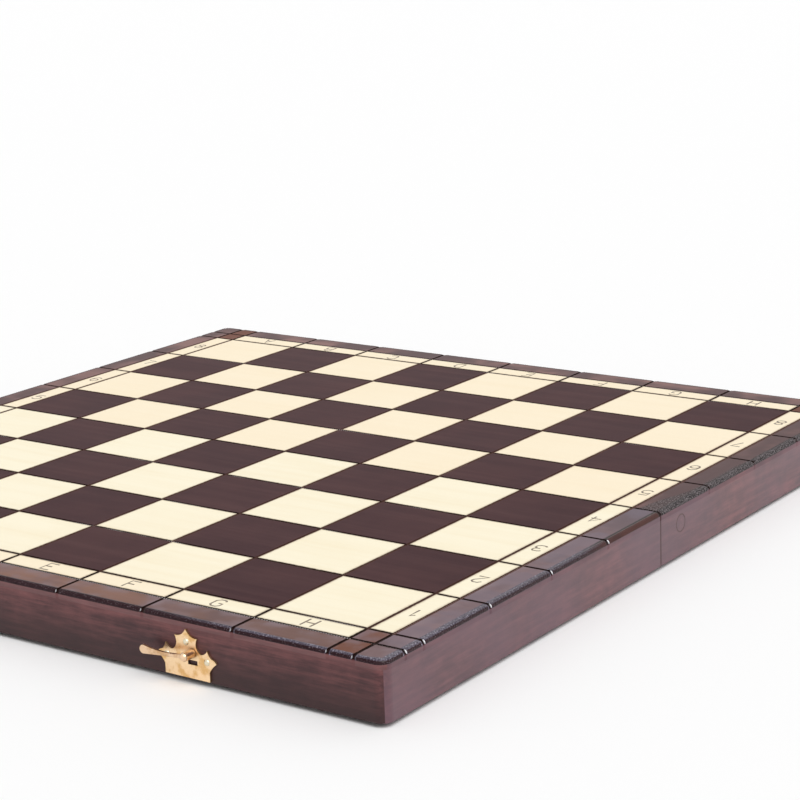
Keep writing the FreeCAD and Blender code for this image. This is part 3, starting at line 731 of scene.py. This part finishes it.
def edge_route(side):
    """(point, outward direction, distance) along the centre line of one half's rounded edge."""
    route = straight_run((-INSET, -SEAM), (-INSET, -STRAIGHT_END), (-1, 0))
    route += corner_run((-STRAIGHT_END, -STRAIGHT_END), math.pi)
    route += straight_run((-STRAIGHT_END, -INSET), (STRAIGHT_END, -INSET), (0, -1))
    route += corner_run((STRAIGHT_END, -STRAIGHT_END), 1.5 * math.pi)
    route += straight_run((INSET, -STRAIGHT_END), (INSET, -SEAM), (1, 0))
    turn = Matrix.Rotation(math.pi if side == "far" else 0, 3, "Z")
    route = [(turn @ point, turn @ outward) for point, outward in route]
    distance = 0.0
    walked = []
    for index, (point, outward) in enumerate(route):
        if index:
            distance += (point - route[index - 1][0]).length * EDGE_STRETCH
        walked.append((point, outward, distance))
    return walked


print("points on the near half's edge:", len(edge_route("near")))

# %% [markdown]
# A burnt line runs over the edge as a nick, so the bar stops on one side of it and starts again on the other.

# %% Toothed edges
NICK_HALF = LINE_WIDTH / 2 + 0.1 * MM
FEWEST_POINTS = 3


def in_nick(point, outward):
    """Whether a point of the edge lies where a burnt line runs over it."""
    if abs(outward.x) > STRAIGHT:
        coordinate = point.y
    elif abs(outward.y) > STRAIGHT:
        coordinate = point.x
    else:
        return False
    return any(abs(coordinate - line) < NICK_HALF for line in LINES)


def toothed_edge(side):
    def fill(shape):
        stretch = []
        for number, (point, outward, distance) in enumerate(edge_route(side)):
            if not in_nick(point, outward):
                stretch.append((point, outward, distance))
                continue
            if len(stretch) >= FEWEST_POINTS:
                edge_stretch(shape, stretch, number)
            stretch = []
        if len(stretch) >= FEWEST_POINTS:
            edge_stretch(shape, stretch, 0)
    return fill


for side in ("near", "far"):
    add_shape(f"{side}_burnt_edge", toothed_edge(side), burnt_finish, f"{side}_half")

# %% [markdown]
# ## Painted glints in the nicks
# Where a line runs out over the edge, it leaves a dark nick. On the flank of the nick that faces the corner,
# a painted glint stands for the light that it catches: each is a small closed bar of pale colour that follows
# the quarter round. The ones along the ends of the board are narrow, and dull at the front. The crumbly right
# edge of the far half has none.

# %% Finish of the painted glints
glint_finish, tree, shader, place = new_finish("glint_finish")
glint_spread = speckle(tree, place, 1800.0, 2.0)
on_front = axes(tree, place)[1] < -INSET
# Pale colour painted as a glint, dulled at the front.
glint_colour = mix(glint_spread.fade(0.45, 0.75), (0.80, 0.79, 0.82), (0.30, 0.27, 0.28))
Wire.feed(shader.inputs["Base Color"], mix(on_front * 0.6, glint_colour, (0.13, 0.12, 0.14)))
Wire.feed(shader.inputs["Roughness"], 0.10 + glint_spread * 0.15)
shader.inputs["Coat Weight"].default_value = 1.0
print("bright nicks:", len(tree.nodes), "nodes")

# %% Painted glints in the nicks
BEAD_STEPS = 10
BEAD_SIDES = 8
BEAD_FLANK = 0.80 * MM
BEAD_FOOT = EDGE_ROUND - 0.5 * MM
BEAD_RISE = 0.22 * MM
# Angles from the top, in degrees, and half the width
END_BEAD = (40, 78, 0.24 * MM)
SIDE_BEAD = (24, 86, 0.36 * MM)


def varnish_bead(shape, middle, outward, first, last, half_width):
    """A pale bead along the quarter round at one flank of a nick, painted as a glint, between two angles from
    the top.
    """
    along = Vector((-outward.y, outward.x, 0))
    rings = []
    for step in range(BEAD_STEPS + 1):
        share = step / BEAD_STEPS
        angle = math.radians(first + (last - first) * share)
        plump = math.sin(math.pi * (0.12 + 0.76 * share))
        radial = outward * math.sin(angle) + Vector((0, 0, math.cos(angle)))
        high = EDGE_ROUND + BEAD_RISE * math.sin(2 * angle)
        ring = []
        for turn in range(BEAD_SIDES):
            swing = turn / BEAD_SIDES * 2 * math.pi
            reach = BEAD_FOOT + (high - BEAD_FOOT) * (0.5 + 0.5 * math.sin(swing))
            ring.append(middle + radial * reach + along * (math.cos(swing) * half_width * plump))
        rings.append(ring)
    sweep(shape, rings)


def varnish_beads(side):
    direction = -1 if side == "near" else 1
    flank = BEAD_FLANK * direction
    hands = (-1, 1) if side == "near" else (-1,)

    def fill(shape):
        for line in LINES:
            middle = Vector((line + flank, direction * INSET, EDGE_HEIGHT))
            varnish_bead(shape, middle, Vector((0, direction, 0)), *END_BEAD)
            if line * direction > 0:
                for hand in hands:
                    middle = Vector((hand * INSET, line - flank, EDGE_HEIGHT))
                    varnish_bead(shape, middle, Vector((hand, 0, 0)), *SIDE_BEAD)
    return fill


for side in ("near", "far"):
    add_shape(f"{side}_varnish_beads", varnish_beads(side), glint_finish, f"{side}_half")

# %% [markdown]
# ## Scorched lines
# The same wheel draws the lines between the squares, and leaves a row of small beads along the groove. A
# closed bar with a beaded ridge lies in each CAD groove, a little under the surface.

# %% Scorched lines
NOTCH_PITCH = 1.25 * MM
NOTCH_STEPS = 4
SHOULDER_DEPTH = 0.36 * MM
SEAM_REACH = SEAM + 0.5 * MM
SEED_ALONG_X = 20


def scorched_line(shape, start, end, seed):
    """A beaded bar in the groove from start to end."""
    run = end - start
    direction = run.normalized()
    sideways = Vector((-direction.y, direction.x, 0))
    count = round(run.length / NOTCH_PITCH) * NOTCH_STEPS
    half = LINE_WIDTH / 2
    rings = []
    for step in range(count + 1):
        middle = start + run * (step / count)
        wave = 0.5 + 0.5 * math.cos(2 * math.pi * step / NOTCH_STEPS)
        grit = noise.noise(Vector((step * 0.9, seed, 0)))
        ridge = (-0.42 + 0.36 * wave + 0.04 * grit) * MM
        shoulder = (-0.44 + 0.26 * wave) * MM
        section = ((-half, -LINE_DEPTH), (-half, -SHOULDER_DEPTH), (-0.5 * half, shoulder), (0.0, ridge),
                   (0.5 * half, shoulder), (half, -SHOULDER_DEPTH), (half, -LINE_DEPTH))
        rings.append([middle + sideways * across + Vector((0, 0, height)) for across, height in section])
    sweep(shape, rings)


def scorched_lines(side, way):
    direction = -1 if side == "near" else 1

    def fill(shape):
        for seed, line in enumerate(LINES):
            if way == "y":
                scorched_line(shape, Vector((line, direction * SEAM_REACH, TOP)),
                              Vector((line, direction * INSET, TOP)), seed)
            elif line * direction > 0:
                scorched_line(shape, Vector((-INSET, line, TOP)), Vector((INSET, line, TOP)),
                              SEED_ALONG_X + seed)
    return fill


for side in ("near", "far"):
    for way, finish in scorch_along.items():
        add_shape(f"{side}_lines_along_{way}", scorched_lines(side, way), finish, f"{side}_half")

# %% [markdown]
# ## Coordinates
# The letters and numbers are drawn with a fine burning point, in single strokes. A font has filled outlines,
# so each character is a few strokes on a grid of four by six, swept by a thin round bevel and then pressed
# flat into the surface. Those on the far and right strips are turned to be read from the far side.

# %% Strokes
STROKES = {
    "A": [[(0, 0), (2, 6), (4, 0)], [(0.8, 2.2), (3.2, 2.2)]],
    "B": [[(0, 0), (0, 6), (2.6, 6), (3.6, 5.3), (3.6, 4), (2.6, 3.3), (0, 3.3)],
          [(2.6, 3.3), (4, 2.5), (4, 0.8), (2.8, 0), (0, 0)]],
    "C": [[(4, 5), (3, 6), (1.2, 6), (0, 4.8), (0, 1.2), (1.2, 0), (3, 0), (4, 1)]],
    "D": [[(0, 0), (0, 6), (2.4, 6), (4, 4.5), (4, 1.5), (2.4, 0), (0, 0)]],
    "E": [[(4, 6), (0, 6), (0, 0), (4, 0)], [(0, 3.2), (3, 3.2)]],
    "F": [[(4, 6), (0, 6), (0, 0)], [(0, 3.2), (3, 3.2)]],
    "G": [[(4, 5), (3, 6), (1.2, 6), (0, 4.8), (0, 1.2), (1.2, 0), (3, 0), (4, 1), (4, 2.8), (2.4, 2.8)]],
    "H": [[(0, 0), (0, 6)], [(4, 0), (4, 6)], [(0, 3), (4, 3)]],
    "1": [[(0.8, 4.6), (2.2, 6), (2.2, 0)]],
    "2": [[(0.2, 4.8), (1.2, 6), (3, 6), (4, 5), (3.8, 3.8), (0, 0), (4, 0)]],
    "3": [[(0.2, 5.3), (1.2, 6), (3, 6), (3.8, 5.2), (3.8, 4), (2.8, 3.3), (1.6, 3.2)],
          [(2.8, 3.3), (4, 2.4), (4, 0.9), (3, 0), (1.2, 0), (0.1, 0.8)]],
    "4": [[(3, 0), (3, 6), (0, 2), (4, 2)]],
    "5": [[(3.8, 6), (0.5, 6), (0.2, 3.4), (1.4, 3.9), (3, 3.8), (4, 2.7), (4, 1.2), (2.8, 0), (1.2, 0),
           (0.1, 0.9)]],
    "6": [[(3.8, 5.2), (2.8, 6), (1.4, 6), (0.2, 4.4), (0, 2), (0.8, 0.4), (2, 0), (3.2, 0.4), (4, 1.7),
           (3.6, 3), (2.4, 3.6), (1, 3.2), (0.1, 2.2)]],
    "7": [[(0, 6), (4, 6), (1.4, 0)]],
    "8": [[(2, 3.2), (0.6, 3.9), (0.4, 5.2), (1.4, 6), (2.6, 6), (3.6, 5.2), (3.4, 3.9), (2, 3.2), (0.4, 2.4),
           (0, 1.2), (1, 0), (3, 0), (4, 1.2), (3.6, 2.4), (2, 3.2)]],
}
GRID_WIDTH = 4
GRID_HEIGHT = 6
print("characters:", "".join(STROKES))

# %% Ink
ink_finish, tree, shader, place = new_finish("ink_finish")
fleck = speckle(tree, place, 1500.0, 3.0)
ink_colour = mix(fleck.fade(0.4, 0.7), (0.165, 0.125, 0.095), (0.34, 0.265, 0.185))
Wire.feed(shader.inputs["Base Color"], ink_colour)
Wire.feed(shader.inputs["Roughness"], 0.45 + fleck * 0.2)
print("ink:", len(tree.nodes), "nodes")

# %% Coordinates
CHARACTER_HEIGHT = 7.2 * MM
STROKE_RADIUS = 0.58 * MM
STROKE_FLATTENED = 0.2
STROKE_SUNK = 0.03 * MM
LABEL_MIDDLE = (FIELD + STRIP) / 2


def write_strokes(curve, character, middle, turned):
    """Adds a character's strokes to a curve; turned ones read from the far side."""
    unit = CHARACTER_HEIGHT / GRID_HEIGHT * (-1 if turned else 1)
    for stroke in STROKES[character]:
        spline = curve.splines.new("POLY")
        spline.points.add(len(stroke) - 1)
        for point, (right, up) in zip(spline.points, stroke):
            point.co = (middle[0] + (right - GRID_WIDTH / 2) * unit,
                        middle[1] + (up - GRID_HEIGHT / 2) * unit, TOP, 1)


def drawn_strokes(side):
    """A curve with all the characters on one half."""
    near = side == "near"
    curve = bpy.data.curves.new(f"{side}_strokes", "CURVE")
    curve.dimensions = "3D"
    curve.bevel_depth = STROKE_RADIUS
    curve.bevel_resolution = 1
    curve.use_fill_caps = True
    for file_number, letter in enumerate("ABCDEFGH"):
        middle_x = (file_number - 3.5) * SQUARE
        write_strokes(curve, letter, (middle_x, -LABEL_MIDDLE if near else LABEL_MIDDLE), not near)
    for rank in range(1, 5) if near else range(5, 9):
        middle_y = (rank - 4.5) * SQUARE
        write_strokes(curve, str(rank), (-LABEL_MIDDLE, middle_y), False)
        write_strokes(curve, str(rank), (LABEL_MIDDLE, middle_y), True)
    return curve


def coordinates(side):
    """The drawn strokes as a mesh, pressed flat into the surface."""
    drawing = bpy.data.objects.new(f"{side}_drawing", drawn_strokes(side))
    bpy.context.scene.collection.objects.link(drawing)
    bpy.context.view_layer.update()
    mesh = bpy.data.meshes.new_from_object(drawing.evaluated_get(bpy.context.evaluated_depsgraph_get()))
    bpy.data.objects.remove(drawing)
    for vertex in mesh.vertices:
        vertex.co.z = TOP - STROKE_SUNK + (vertex.co.z - TOP) * STROKE_FLATTENED
    return mesh


for side in ("near", "far"):
    add_piece(f"{side}_coordinates", coordinates(side), ink_finish, f"{side}_half")

# %% [markdown]
# ## Felt lining
# Inside each half, a sheet of felt is glued under the panel. Felt has no weave: its fibres lie in all
# directions, so the surface is softly uneven and rough, with a faint sheen at a low angle. The CAD has a
# plain thin block there, and a sheet with an uneven face takes its place.

# %% Felt
FELT_DEEP = (0.010, 0.050, 0.024)
FELT_LIGHT = (0.040, 0.135, 0.070)

felt_finish, tree, shader, place = new_finish("felt_finish")
fibre = speckle(tree, place, 1600.0, 6.0, 0.7)
patch = speckle(tree, place, 60.0)
Wire.feed(shader.inputs["Base Color"], mix(fibre * 0.6 + patch * 0.4, FELT_DEEP, FELT_LIGHT))
Wire.feed(shader.inputs["Roughness"], 0.88 + fibre * 0.1)
shader.inputs["Sheen Weight"].default_value = 0.4
shader.inputs["Sheen Roughness"].default_value = 0.5
bump(tree, shader, fibre, 0.25 * MM, 0.8)
print("felt:", len(tree.nodes), "nodes")

# %% [markdown]
# The sheet has a glued face and a loose face over the same grid of points, joined round the border. The loose
# face ripples a little, and its border is pressed down.

# %% Felt sheets
COLUMNS = 120
ROWS = 56
RIPPLE_LENGTH = 9 * MM
RIPPLE_HEIGHT = 0.12 * MM
LOOSE_RISE = 0.15 * MM
BORDER_PRESS = 0.25 * MM


def felt_shape(low, high):
    """A function that fills a bmesh with a felt sheet between two corners."""
    def fill(shape):
        glued = []
        loose = []
        for row in range(ROWS + 1):
            for column in range(COLUMNS + 1):
                x = low.x + (high.x - low.x) * column / COLUMNS
                y = low.y + (high.y - low.y) * row / ROWS
                ripple = noise.noise(Vector((x, y, 0)) / RIPPLE_LENGTH) * RIPPLE_HEIGHT
                at_border = row in (0, ROWS) or column in (0, COLUMNS)
                press = BORDER_PRESS if at_border else 0.0
                glued.append(shape.verts.new((x, y, high.z)))
                loose.append(shape.verts.new((x, y, low.z + LOOSE_RISE + ripple + press)))
        width = COLUMNS + 1
        for row in range(ROWS):
            for column in range(COLUMNS):
                first = row * width + column
                corners = (first, first + 1, first + 1 + width, first + width)
                shape.faces.new([loose[corner] for corner in corners])
                shape.faces.new([glued[corner] for corner in reversed(corners)])
        border = list(range(width)) + [row * width + COLUMNS for row in range(1, ROWS + 1)]
        border += [ROWS * width + column for column in range(COLUMNS - 1, -1, -1)]
        border += [row * width for row in range(ROWS - 1, 0, -1)]
        for first, second in zip(border, border[1:] + border[:1]):
            shape.faces.new((glued[first], glued[second], loose[second], loose[first]))
    return fill


for side in ("near", "far"):
    low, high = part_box(f"{side}_lining")
    sheet = add_shape(f"{side}_felt", felt_shape(low, high), felt_finish, f"{side}_half")
    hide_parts(f"{side}_lining")

# %% [markdown]
# ## Floor and light
# The picture is a plain studio shot on white. A lamp near the board would leave the far floor grey, so a wide
# soft sun lights floor and board evenly, and the white surroundings fill the shade. The world is a full
# white to the camera and in reflections, and a little dimmer as a light.

# %% Floor
FLOOR_HALF = 6
FLOOR_WHITE = (0.95, 0.95, 0.95, 1)

floor_mesh = bpy.data.meshes.new("floor")
floor_mesh.from_pydata([(-FLOOR_HALF, -FLOOR_HALF, 0), (FLOOR_HALF, -FLOOR_HALF, 0),
                        (FLOOR_HALF, FLOOR_HALF, 0), (-FLOOR_HALF, FLOOR_HALF, 0)], [], [(0, 1, 2, 3)])
floor = bpy.data.objects.new("floor", floor_mesh)
bpy.context.scene.collection.objects.link(floor)
floor_finish, _, shader, _ = new_finish("floor_finish")
shader.inputs["Base Color"].default_value = FLOOR_WHITE
shader.inputs["Roughness"].default_value = 0.9
floor_mesh.materials.append(floor_finish)
print("floor", 2 * FLOOR_HALF, "m across")

# %% Light
FILL_STRENGTH = 0.55
SUN_STRENGTH = 1.9
SUN_ANGLE = 0.9
SUN_DIRECTION = Vector((-0.55, 0.30, -0.85))

world = bpy.data.worlds.new("studio")
bpy.context.scene.world = world
world.use_nodes = True
tree = world.node_tree
path = Wire.make(tree, "ShaderNodeLightPath", output="Is Camera Ray")
seen = path.most(path.out("Is Glossy Ray")).most(path.out("Is Transmission Ray"))
sky = tree.nodes["Background"]
sky.inputs["Color"].default_value = (1, 1, 1, 1)
Wire.feed(sky.inputs["Strength"], FILL_STRENGTH + seen * (1 - FILL_STRENGTH))

sun = bpy.data.lights.new("soft_sun", "SUN")
sun.energy = SUN_STRENGTH
sun.angle = SUN_ANGLE
sun_object = bpy.data.objects.new("soft_sun", sun)
sun_object.rotation_euler = SUN_DIRECTION.to_track_quat("-Z", "Y").to_euler()
bpy.context.scene.collection.objects.link(sun_object)
print("sun", sun.energy, "over a fill of", FILL_STRENGTH)

# %% [markdown]
# ## Camera
# The picture's perspective was solved from the corners of the squares, in squares from the middle of the
# board. The camera stands low at the right front corner, with a long lens, tilted a little.

# %% Camera
FOCAL_PIXELS = 2222.574
PICTURE_PIXELS = 800
SENSOR_WIDTH = 36
AZIMUTH = 0.622085
ELEVATION = 0.249663
ROLL = -0.035918
DISTANCE = 25.8366 * SQUARE
TARGET = Vector((-0.172823 * SQUARE, 2.393985 * SQUARE, TOP))

back = Vector((math.sin(AZIMUTH) * math.cos(ELEVATION), -math.cos(AZIMUTH) * math.cos(ELEVATION),
               math.sin(ELEVATION)))
right = Vector((0, 0, 1)).cross(back).normalized()
up = back.cross(right)
tilted_right = right * math.cos(ROLL) + up * math.sin(ROLL)
tilted_up = up * math.cos(ROLL) - right * math.sin(ROLL)
lens = bpy.data.cameras.new("camera")
lens.sensor_width = SENSOR_WIDTH
lens.lens = FOCAL_PIXELS / PICTURE_PIXELS * lens.sensor_width
camera = bpy.data.objects.new("camera", lens)
camera.matrix_world = Matrix.Translation(TARGET + back * DISTANCE) @ Matrix(
    (tilted_right, tilted_up, back)).transposed().to_4x4()
bpy.context.scene.collection.objects.link(camera)
bpy.context.scene.camera = camera
bpy.context.scene.view_settings.view_transform = "Standard"
print(f"lens {lens.lens:.1f} mm")
